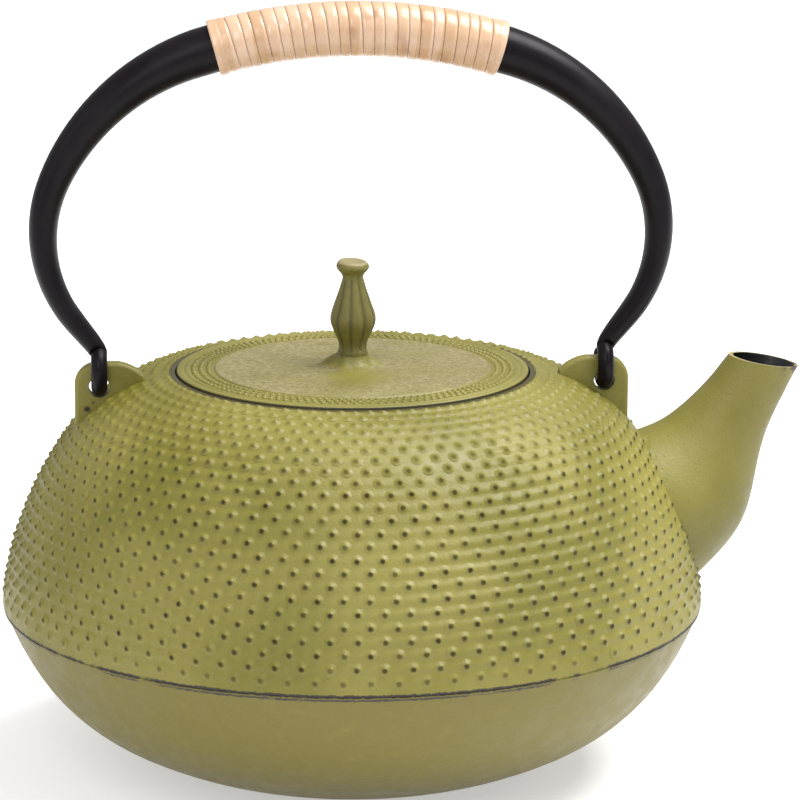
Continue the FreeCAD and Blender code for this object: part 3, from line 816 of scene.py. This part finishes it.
finish_piece(spun(lid_profile(), 220), "lid_top_plate", "lid", green_lid,
             replaces=["lid_plate"])

# %% [markdown]
# ## The lid's beads
#
# Small round beads, cast with the lid. One sphere is flattened below and copied round three rows.

# %% Lid beads
BEAD_ROWS = (39.2 * MM, 41.2 * MM, 43.2 * MM)
BEADS_PER_ROW = 128
LID_BEAD_RADIUS = 0.86 * MM
LID_BEAD_HEIGHT = 0.55 * MM


def make_bead():
    shape = bmesh.new()
    bmesh.ops.create_uvsphere(shape, u_segments=8, v_segments=6, radius=1.0)
    for corner in shape.verts:
        corner.co.z = max(corner.co.z, -0.4)
    close_up(shape, 0.01)
    mesh = bpy.data.meshes.new("bead_pattern")
    shape.to_mesh(mesh)
    shape.free()
    return mesh


random.seed(23)
bead_frames = []
for number, reach in enumerate(BEAD_ROWS):
    for index in range(BEADS_PER_ROW):
        shift = 0.5 * (number % 2) + random.uniform(-0.05, 0.05)
        azimuth = (index + shift) / BEADS_PER_ROW * math.tau
        wide = LID_BEAD_RADIUS * (reach / BEAD_ROWS[-1])
        tall = LID_BEAD_HEIGHT * random.uniform(0.8, 1.1)
        place = Vector((reach * math.cos(azimuth), reach * math.sin(azimuth),
                        crown(reach) - 0.3 * MM))
        bead_frames.append(Matrix.Translation(place) @ Matrix.Diagonal((wide, wide, tall, 1.0)))
beads = set_copies(make_bead(), bead_frames)[0]
finish_piece(beads, "lid_beads", "lid", green_lid)

# %% [markdown]
# ## The knob and its seat
#
# The knob is a turned pear with shallow ribs and a dished cap. Spinning gives the pear, and the
# ribs come from moving each vertex a little in or out by a wave round the axis, strongest at the
# belly and gone at the neck. The seat is the same idea laid flat: a low flare pulled into petals.

# %% Knob
knob_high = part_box("lid_knob")[1]
KNOB_PROFILE = (
    # radius, drop below the solid knob's top
    (0.0, 1.15), (1.4, 1.10), (2.4, 0.85), (3.1, 0.62), (3.7, 0.75), (4.2, 1.25), (4.5, 1.9),
    (4.5, 2.35), (4.15, 2.95), (3.55, 3.6), (3.0, 4.25), (2.75, 4.9), (2.78, 5.6), (3.05, 6.6),
    (3.5, 8.2), (4.15, 10.3), (4.85, 12.5), (5.5, 14.4), (5.85, 15.8), (5.93, 17.0),
    (5.75, 18.2), (5.25, 19.6), (4.5, 21.2), (3.9, 22.5), (3.6, 23.6), (3.6, 24.4),
    (3.8, 25.4), (4.1, 26.4), (3.6, 27.2), (2.0, 27.6), (2.0, 33.9), (3.4, 33.9),
    (3.0, 34.7), (2.2, 35.1), (0.0, 35.1),
)
RIB_DEPTH = 0.80 * MM
# the drops between which the ribs lie, and below which the stem begins
BELLY_START = 4.5
BELLY_END = 27.0
STEM_START = 28.0
# the cap leans a little
CAP_TILT = 0.28 * MM
CAP_TILT_AZIMUTH = 2.4
CAP_DEPTH = 5
knob_points = [(radius * MM, knob_high.z - drop * MM) for radius, drop in KNOB_PROFILE]
knob = spun(knob_points, 110)
for corner in knob.verts:
    reach = math.hypot(corner.co.x, corner.co.y)
    drop = (knob_high.z - corner.co.z) / MM
    if reach < 1.0 * MM or drop > STEM_START:
        continue
    azimuth = math.atan2(corner.co.y, corner.co.x)
    belly = math.sin(math.pi * (drop - BELLY_START) / (BELLY_END - BELLY_START))
    belly = max(0.0, belly) if BELLY_START < drop < BELLY_END else 0.0
    cap = max(0.0, 1 - drop / CAP_DEPTH)
    corner.co.z += math.cos(azimuth - CAP_TILT_AZIMUTH) * CAP_TILT * cap
    rib = RIB_DEPTH * belly ** 0.6 * (abs(math.cos(azimuth * RIBS / 2)) ** 0.7 - 0.6)
    hand = (0.12 + 0.16 * cap) * MM * noise.noise(Vector(corner.co) * 260)
    corner.co.x += (rib + hand) * corner.co.x / reach
    corner.co.y += (rib + hand) * corner.co.y / reach
finish_piece(knob, "knob", "lid", green_lid, replaces=["lid_knob"])

# %% [markdown]
# ## The knob seat
#
# A flare spun like the knob, then lifted into soft, uneven lobes and drawn in between them.

# %% Knob seat
seat_low, seat_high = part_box("knob_collar")
SEAT_REACH = seat_high.x
SEAT_TOP = 4.6 * MM
SEAT_WAIST = 3.66 * MM
LOBES = (
    # azimuth and half width in degrees, and how high the lobe stands in mm
    (150, 26, 1.9), (196, 13, 0.8), (22, 15, 1.2), (-8, 11, 0.8), (80, 20, 0.9), (-62, 16, 0.35),
    (-120, 18, 0.3),
)


def seat_profile():
    """A flare that carries the knob's line down and out to the lid."""
    points = []
    for step in range(17):
        share = step / 16
        reach = SEAT_WAIST + (SEAT_REACH - SEAT_WAIST) * share ** 1.1
        points.append((reach, seat_low.z + SEAT_TOP * (1 - share) ** 4.0))
    points.append((SEAT_REACH - 0.2 * MM, seat_low.z - 0.3 * MM))
    points.append((STEM_RADIUS, seat_low.z - 0.3 * MM))
    points.append((STEM_RADIUS, seat_low.z + SEAT_TOP))
    return points + points[:1]


seat = spun(seat_profile(), 160)
for corner in seat.verts:
    reach = math.hypot(corner.co.x, corner.co.y)
    share = (reach - SEAT_WAIST) / (SEAT_REACH - SEAT_WAIST)
    if share <= 0.02 or corner.co.z < seat_low.z - 0.1 * MM:
        continue
    azimuth = math.degrees(math.atan2(corner.co.y, corner.co.x))
    lift = 0.0
    for lobe_azimuth, half_width, tall in LOBES:
        away = (azimuth - lobe_azimuth + 180) % 360 - 180
        lift = max(lift, tall * math.exp(-(away / half_width) ** 2))
    swell = math.sin(math.pi * min(1.0, share ** 0.8)) if share < 1 else 0.0
    flute = 0.14 * MM * math.cos(math.radians(azimuth) * RIBS) * (1 - share)
    corner.co.z += lift * MM * swell + flute
    pull = 1 - 0.14 * (1 - min(1.0, lift)) * share
    corner.co.x *= pull
    corner.co.y *= pull
finish_piece(seat, "knob_seat", "lid", green_lid, replaces=["knob_collar"])

# %% [markdown]
# ## Black bail
#
# The bail is a tapered steel tube in satin black, with a rod set into each end that is bent
# through the hole of its ear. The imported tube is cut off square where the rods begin, while a
# forged end is drawn down into its rod, so both are made again here. Rings are set along the line
# of one half, square to it, and bridged, and the half is mirrored. A bevelled curve would be
# quicker, but it can't be oval.

# %% Black lacquer
BLACK = colour(14, 8, 13)
BLACK_DUSTY = colour(26, 21, 24)


def make_black():
    finish = Finish("black_lacquer")
    cloud = finish.noise(60.0, 3.0)
    fine = finish.noise(900.0, 3.0, 0.6)
    tone = finish.tint(finish.step(cloud, 0.40, 0.75, 0.0, 0.55), BLACK, BLACK_DUSTY)
    tone = finish.tint(finish.step(fine, 0.62, 0.80, 0.0, 0.35), tone, BLACK_DUSTY)
    rough = finish.step(cloud, 0.3, 0.7, 0.34, 0.46)
    normal = finish.bump(fine, 0.05 * MM, 0.35)
    return finish.join(Base_Color=tone, Roughness=rough, Normal=normal, Specular_IOR_Level=0.13)


black = make_black()

# %% [markdown]
# ## The tube and its rods
#
# Three arcs give the line of the bail, a curve joins them to the rod, and the rod turns about
# the hinge. The half width and half depth change evenly along each arc.

# %% Bail tube and hooks
BAIL_TOP = 203.2 * MM
BAIL_ARCS = (
    # radius of the arc, turn, half width and half depth at its end, number of steps
    (140.5 * MM, 17.1, (6.45 * MM, 6.5 * MM), 12),
    (62.5 * MM, 48.6, (4.3 * MM, 5.2 * MM), 18),
    (37.4 * MM, 54.5, (3.15 * MM, 5.3 * MM), 16),
)
HINGE_HEIGHT = 111.2 * MM
HOOK_REACH = 68.7 * MM
HOOK_ARC = 5.0 * MM
ROD_RADIUS = 2.2 * MM
HOOK_TIP = math.radians(375)
BAR_END = math.radians(115)
DRAWN_STEPS = 12
RING_SIDES = 28


def set_ring(shape, place, along, across, half_width, half_depth):
    """One oval ring, square to the line, and its edges."""
    across = (across - along * across.dot(along)).normalized()
    turn = Matrix((across, along.cross(across), along)).transposed().to_4x4()
    size = Matrix.Diagonal((half_width, half_depth, 1.0, 1.0))
    made = bmesh.ops.create_circle(shape, cap_ends=False, segments=RING_SIDES, radius=1.0,
                                   matrix=Matrix.Translation(place) @ turn @ size)
    return list({edge for corner in made["verts"] for edge in corner.link_edges})


def bridged(stations, open_start):
    """A tube through its stations, one half, mirrored to the other side."""
    shape = bmesh.new()
    rings = [set_ring(shape, *station) for station in stations]
    for ring, after in zip(rings, rings[1:]):
        bmesh.ops.bridge_loops(shape, edges=ring + after)
    bmesh.ops.holes_fill(shape, edges=rings[-1], sides=0)
    if not open_start:
        bmesh.ops.holes_fill(shape, edges=rings[0], sides=0)
    bmesh.ops.mirror(shape, geom=list(shape.verts) + list(shape.edges) + list(shape.faces),
                     merge_dist=0.001 * MM, axis="X")
    close_up(shape)
    return shape


def bail_stations():
    """The right half of the bail: three arcs, then the drawn end that runs down to the rod."""
    place = Vector((0, 0, BAIL_TOP))
    heading = 0.0
    sizes = BAIL_ARCS[0][2]
    stations = []
    for arc, turn, end_sizes, steps in BAIL_ARCS:
        turn = math.radians(turn)
        for step in range(steps):
            share = step / steps
            at = heading + turn * share
            middle = place + arc * Vector((math.sin(at) - math.sin(heading), 0,
                                           math.cos(at) - math.cos(heading)))
            half_width, half_depth = (a + (b - a) * share for a, b in zip(sizes, end_sizes))
            stations.append((middle, Vector((math.cos(at), 0, -math.sin(at))),
                             Vector((math.sin(at), 0, math.cos(at))), half_width, half_depth))
        place = place + arc * Vector((math.sin(heading + turn) - math.sin(heading), 0,
                                      math.cos(heading + turn) - math.cos(heading)))
        heading += turn
        sizes = end_sizes
    down = Vector((math.cos(heading), 0, -math.sin(heading)))
    root = Vector((HOOK_REACH, HOOK_ARC * math.cos(BAR_END),
                   HINGE_HEIGHT + HOOK_ARC * math.sin(BAR_END)))
    into_rod = Vector((0, -math.sin(BAR_END), math.cos(BAR_END)))
    first, last = place + down * 6.0 * MM, root - into_rod * 3.0 * MM
    for step in range(DRAWN_STEPS + 1):
        share = step / DRAWN_STEPS
        back = 1 - share
        middle = (back ** 3 * place + 3 * back ** 2 * share * first
                  + 3 * back * share ** 2 * last + share ** 3 * root)
        along = (back ** 2 * (first - place) + 2 * back * share * (last - first)
                 + share ** 2 * (root - last)).normalized()
        narrow = share ** 1.5
        half_width = sizes[0] + (ROD_RADIUS * 1.04 - sizes[0]) * narrow
        half_depth = sizes[1] + (ROD_RADIUS * 1.04 - sizes[1]) * narrow
        stations.append((middle, along, Vector((1, 0, 0)), half_width, half_depth))
    return stations


def hook_stations():
    """One rod: it starts inside the drawn end and is rounded off at its tip."""
    stations = []
    tip_reach = ROD_RADIUS / HOOK_ARC
    for step in range(31):
        angle = BAR_END - 0.2 + (HOOK_TIP + 0.2 - BAR_END) * step / 30
        stations.append((angle, ROD_RADIUS))
    for turn in (25, 50, 72, 86):
        turn = math.radians(turn)
        stations.append((HOOK_TIP + tip_reach * math.sin(turn), ROD_RADIUS * math.cos(turn)))
    return [(Vector((HOOK_REACH, HOOK_ARC * math.cos(angle),
                     HINGE_HEIGHT + HOOK_ARC * math.sin(angle))),
             Vector((0, -math.sin(angle), math.cos(angle))), Vector((1, 0, 0)), radius, radius)
            for angle, radius in stations]


finish_piece(bridged(bail_stations(), open_start=True), "bail_bar", "bail", black,
             replaces=["bail_tube"])
finish_piece(bridged(hook_stations(), open_start=False), "hook_rods", "bail", black,
             replaces=["hook_left", "hook_right"])

# %% [markdown]
# ## The cane grip
#
# The grip is one long strip of split cane, wound some twenty-five times round the crown. A strip
# has a flat underside and a rounded, shiny top, so its section is a low arch. Spinning that
# section about a line while moving it along makes a screw, and the screw is then bent onto the
# crown's arc. The turns don't lie perfectly: the gap between them opens and closes, which a slow
# wave in the distance along the line gives.

# %% Cane strip
cane_low, cane_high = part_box("cane_binding")
CANE_TURNS = 25
CROWN_ARC = 140.5 * MM
TUBE_RADIUS = 6.45 * MM
CANE_THICK = cane_high.y - TUBE_RADIUS
half_reach = (cane_high.x - cane_low.x) / 2
crown_top = cane_high.z - cane_high.y
half_angle = math.asin(half_reach / (CROWN_ARC + cane_high.y)) - 0.006
cane_length = 2 * half_angle * CROWN_ARC
cane_pitch = cane_length / CANE_TURNS
STRIP_SHARE = 0.99
STEPS_PER_TURN = 60
END_SWELL = 1.012
CANE_ASIDE = 1.3 * MM
# how far the turns drift, as shares of the pitch
DRIFT = 0.14
SWAY = 0.05


def strip_section():
    """A low arch, as (along the grip, out from the tube's axis)."""
    half = cane_pitch * STRIP_SHARE / 2
    arch = [(-1.0, 0.50), (-0.98, 0.74), (-0.90, 0.87), (-0.64, 0.97), (-0.2, 1.0), (0.2, 1.0),
            (0.64, 0.97), (0.90, 0.87), (0.98, 0.74), (1.0, 0.50), (0.6, -0.05), (-0.6, -0.05)]
    return [(along * half, TUBE_RADIUS + out * CANE_THICK) for along, out in arch]


def wound_place(along):
    """Shifts the turns a little, so that some gaps open and others close."""
    turn = along / cane_pitch
    return along + cane_pitch * (DRIFT * noise.noise(Vector((turn * 0.55, 3.1, 0)))
                                 + SWAY * math.sin(turn * 2.3))


cane = bmesh.new()
section = strip_section()
ring = [cane.verts.new((along - cane_length / 2 + cane_pitch / 2, 0, -out))
        for along, out in section]
edges = [cane.edges.new((ring[i], ring[(i + 1) % len(ring)])) for i in range(len(ring))]
cane.faces.new(ring)
turns = CANE_TURNS - 1
swept = bmesh.ops.spin(cane, geom=ring + edges, cent=(0, 0, 0), axis=(1, 0, 0),
                       dvec=(cane_pitch / STEPS_PER_TURN, 0, 0), angle=math.tau * turns,
                       steps=STEPS_PER_TURN * turns, use_merge=False)
last_edges = [item for item in swept["geom_last"] if isinstance(item, bmesh.types.BMEdge)]
bmesh.ops.holes_fill(cane, edges=last_edges, sides=0)

# the first and the last turn lie square, over the strip's own ends
for end in (-1, 1):
    middle = end * (cane_length - cane_pitch) / 2
    ring = [cane.verts.new((middle + along, 0, -out * END_SWELL)) for along, out in section]
    edges = [cane.edges.new((ring[i], ring[(i + 1) % len(ring)])) for i in range(len(ring))]
    bmesh.ops.spin(cane, geom=ring + edges, cent=(0, 0, 0), axis=(1, 0, 0), angle=math.tau,
                   steps=STEPS_PER_TURN, use_merge=True)
close_up(cane)
along_layer = cane.loops.layers.uv.new("strip")
for face in cane.faces:
    for loop in face.loops:
        at = loop.vert.co
        round_share = math.atan2(at.y, -at.z) / math.tau
        turn = (at.x + cane_length / 2) / cane_pitch
        loop[along_layer].uv = (turn, round_share)
for corner in cane.verts:
    along = wound_place(corner.co.x)
    end = min(1.0, (cane_length / 2 - abs(corner.co.x)) / cane_pitch)
    turn = round(corner.co.x / cane_pitch)
    lift = 1.0 + 0.010 * noise.noise(Vector((turn * 7.7, corner.co.y * 60, corner.co.z * 60)))
    lift += 0.02 * (1 - end)
    angle = (along + CANE_ASIDE) / CROWN_ARC
    out = CROWN_ARC + corner.co.z * lift
    corner.co = Vector((out * math.sin(angle), corner.co.y * lift,
                        crown_top - CROWN_ARC + out * math.cos(angle)))
print("cane strip", round(cane_pitch * STRIP_SHARE / MM, 2), "mm wide,", CANE_TURNS, "turns")

# %% [markdown]
# The cane itself is pale straw with a pinkish cast, glossy on its skin, with fine fibres along
# the strip and an odd darker stretch where the skin is stained. Its turns differ, so the colour
# follows the number of the turn as well as the place.

# %% Cane finish
CANE = colour(176, 142, 110)
CANE_PALE = colour(198, 170, 146)
CANE_DARK = colour(140, 100, 70)


def make_cane():
    finish = Finish("cane")
    strip = finish.add("ShaderNodeUVMap", uv_map="strip").outputs["UV"]
    parts = finish.add("ShaderNodeSeparateXYZ", {"Vector": strip}).outputs
    number = finish.add("ShaderNodeTexWhiteNoise", {"W": finish.maths("ROUND", parts[0])},
                        noise_dimensions="1D").outputs["Value"]
    cloud = finish.noise(55.0, 3.0)
    fibre = finish.noise(1.0, 3.0, 0.6, stretch=(2600, 300, 300))
    tone = finish.tint(finish.times(number, 0.7), CANE, CANE_PALE)
    tone = finish.tint(finish.step(cloud, 0.48, 0.72, 0.0, 0.7), tone, CANE_PALE)
    tone = finish.tint(finish.step(finish.noise(120.0, 3.0), 0.56, 0.75, 0.0, 0.5), tone,
                       CANE_DARK)
    tone = finish.tint(finish.step(fibre, 0.5, 0.8, 0.0, 0.35), tone, CANE_DARK)
    rough = finish.step(fibre, 0.3, 0.7, 0.20, 0.34)
    normal = finish.bump(fibre, 0.05 * MM, 0.5)
    return finish.join(Base_Color=tone, Roughness=rough, Normal=normal, Specular_IOR_Level=0.5,
                       Subsurface_Weight=0.08, Subsurface_Radius=(0.004, 0.002, 0.001))


finish_piece(cane, "cane_strip", "bail", make_cane(), replaces=["cane_binding"])

# %% [markdown]
# ## The strainer basket
#
# The basket hangs inside and is seen only when the lid is up. Its wall and floor are fine steel
# mesh, so each is a grid of squares turned into wires by the Wireframe modifier.

# %% Basket
STEEL = colour(186, 186, 182)


def make_steel():
    finish = Finish("stainless")
    fine = finish.noise(1.0, 3.0, 0.6, stretch=(120, 120, 3200))
    tone = finish.tint(finish.step(fine, 0.4, 0.7), STEEL, colour(150, 150, 148))
    rough = finish.step(fine, 0.3, 0.7, 0.24, 0.38)
    normal = finish.bump(fine, 0.02 * MM, 0.5)
    return finish.join(Base_Color=tone, Roughness=rough, Normal=normal, Metallic=1.0)


steel = make_steel()
for node in ("basket_rim", "basket_band", "knob_washer"):
    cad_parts[node].data.materials.clear()
    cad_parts[node].data.materials.append(steel)


def wired(shape, name, node):
    piece = finish_piece(shape, name, "basket", steel, replaces=[node])
    wires = piece.modifiers.new("wires", "WIREFRAME")
    wires.thickness = 0.32 * MM
    wires.use_even_offset = False
    return piece


wall_low, wall_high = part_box("basket_wall")
wall_reach = wall_high.x - 0.2 * MM
net = bmesh.new()
bmesh.ops.create_circle(net, cap_ends=False, segments=150, radius=wall_reach,
                        matrix=Matrix.Translation((0, 0, wall_low.z + 8 * MM)))
edges = list(net.edges)
NET_ROWS = 26
net_step = (wall_high.z - 9 * MM - wall_low.z - 8 * MM) / NET_ROWS
for level in range(NET_ROWS):
    grown = bmesh.ops.extrude_edge_only(net, edges=edges)
    corners = [item for item in grown["geom"] if isinstance(item, bmesh.types.BMVert)]
    edges = [item for item in grown["geom"] if isinstance(item, bmesh.types.BMEdge)]
    bmesh.ops.translate(net, verts=corners, vec=(0, 0, net_step))
wired(net, "basket_net", "basket_wall")

floor_low, floor_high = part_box("basket_floor")
mesh_floor = bmesh.new()
bmesh.ops.create_grid(mesh_floor, x_segments=44, y_segments=44, size=floor_high.x,
                      matrix=Matrix.Translation((0, 0, (floor_low.z + floor_high.z) / 2)))
outside = [corner for corner in mesh_floor.verts
           if math.hypot(corner.co.x, corner.co.y) > floor_high.x - 0.3 * MM]
bmesh.ops.delete(mesh_floor, geom=outside, context="VERTS")
wired(mesh_floor, "basket_floor_net", "basket_floor")

# %% [markdown]
# ## Floor and light
#
# The pot stands on a plain pale floor in a bright, even studio: one large soft light above on the
# right, weak ones in front and on the left, a narrow one in front on the left that draws the long
# highlights, and a white surround that fills the shadows.

# %% Floor
def make_floor():
    finish = Finish("floor")
    return finish.join(Base_Color=(0.76, 0.76, 0.76, 1.0), Roughness=0.9,
                       Emission_Color=(1.0, 1.0, 1.0, 1.0), Emission_Strength=0.44)


floor_shape = bmesh.new()
bmesh.ops.create_grid(floor_shape, x_segments=1, y_segments=1, size=8.0)
floor_mesh = bpy.data.meshes.new("floor")
floor_shape.to_mesh(floor_mesh)
floor_shape.free()
floor_mesh.materials.append(make_floor())
floor = bpy.data.objects.new("floor", floor_mesh)
bpy.context.scene.collection.objects.link(floor)

# %% [markdown]
# ## The lights
#
# Four rectangular lamps aim at the middle of the pot, and an even white world fills the rest.

# %% Lights
LIGHTS = (
    # name, place, width and height, watts
    ("above", (0.50, -0.05, 1.18), (0.8, 0.8), 29.0),
    ("front_right", (0.90, -1.00, 0.70), (0.6, 0.6), 1.5),
    ("left", (-1.10, -0.35, 0.55), (0.4, 0.8), 1.6),
    ("front_left", (-0.38, -1.15, 0.95), (0.16, 0.9), 6.0),
)
for name, place, (width, tall), power in LIGHTS:
    light = bpy.data.lights.new(name, "AREA")
    light.shape = "RECTANGLE"
    light.size = width
    light.size_y = tall
    light.energy = power
    lamp = bpy.data.objects.new(name, light)
    bpy.context.scene.collection.objects.link(lamp)
    lamp.location = place
    lamp.rotation_euler = (Vector(place) - Vector((0, 0, 0.09))).to_track_quat("Z", "Y").to_euler()
world = bpy.data.worlds.new("world")
world.use_nodes = True
world.node_tree.nodes["Background"].inputs["Color"].default_value = (1.0, 1.0, 1.0, 1.0)
world.node_tree.nodes["Background"].inputs["Strength"].default_value = 0.52
bpy.context.scene.world = world
bpy.context.scene.view_settings.view_transform = "Standard"
print(len(LIGHTS), "lights")
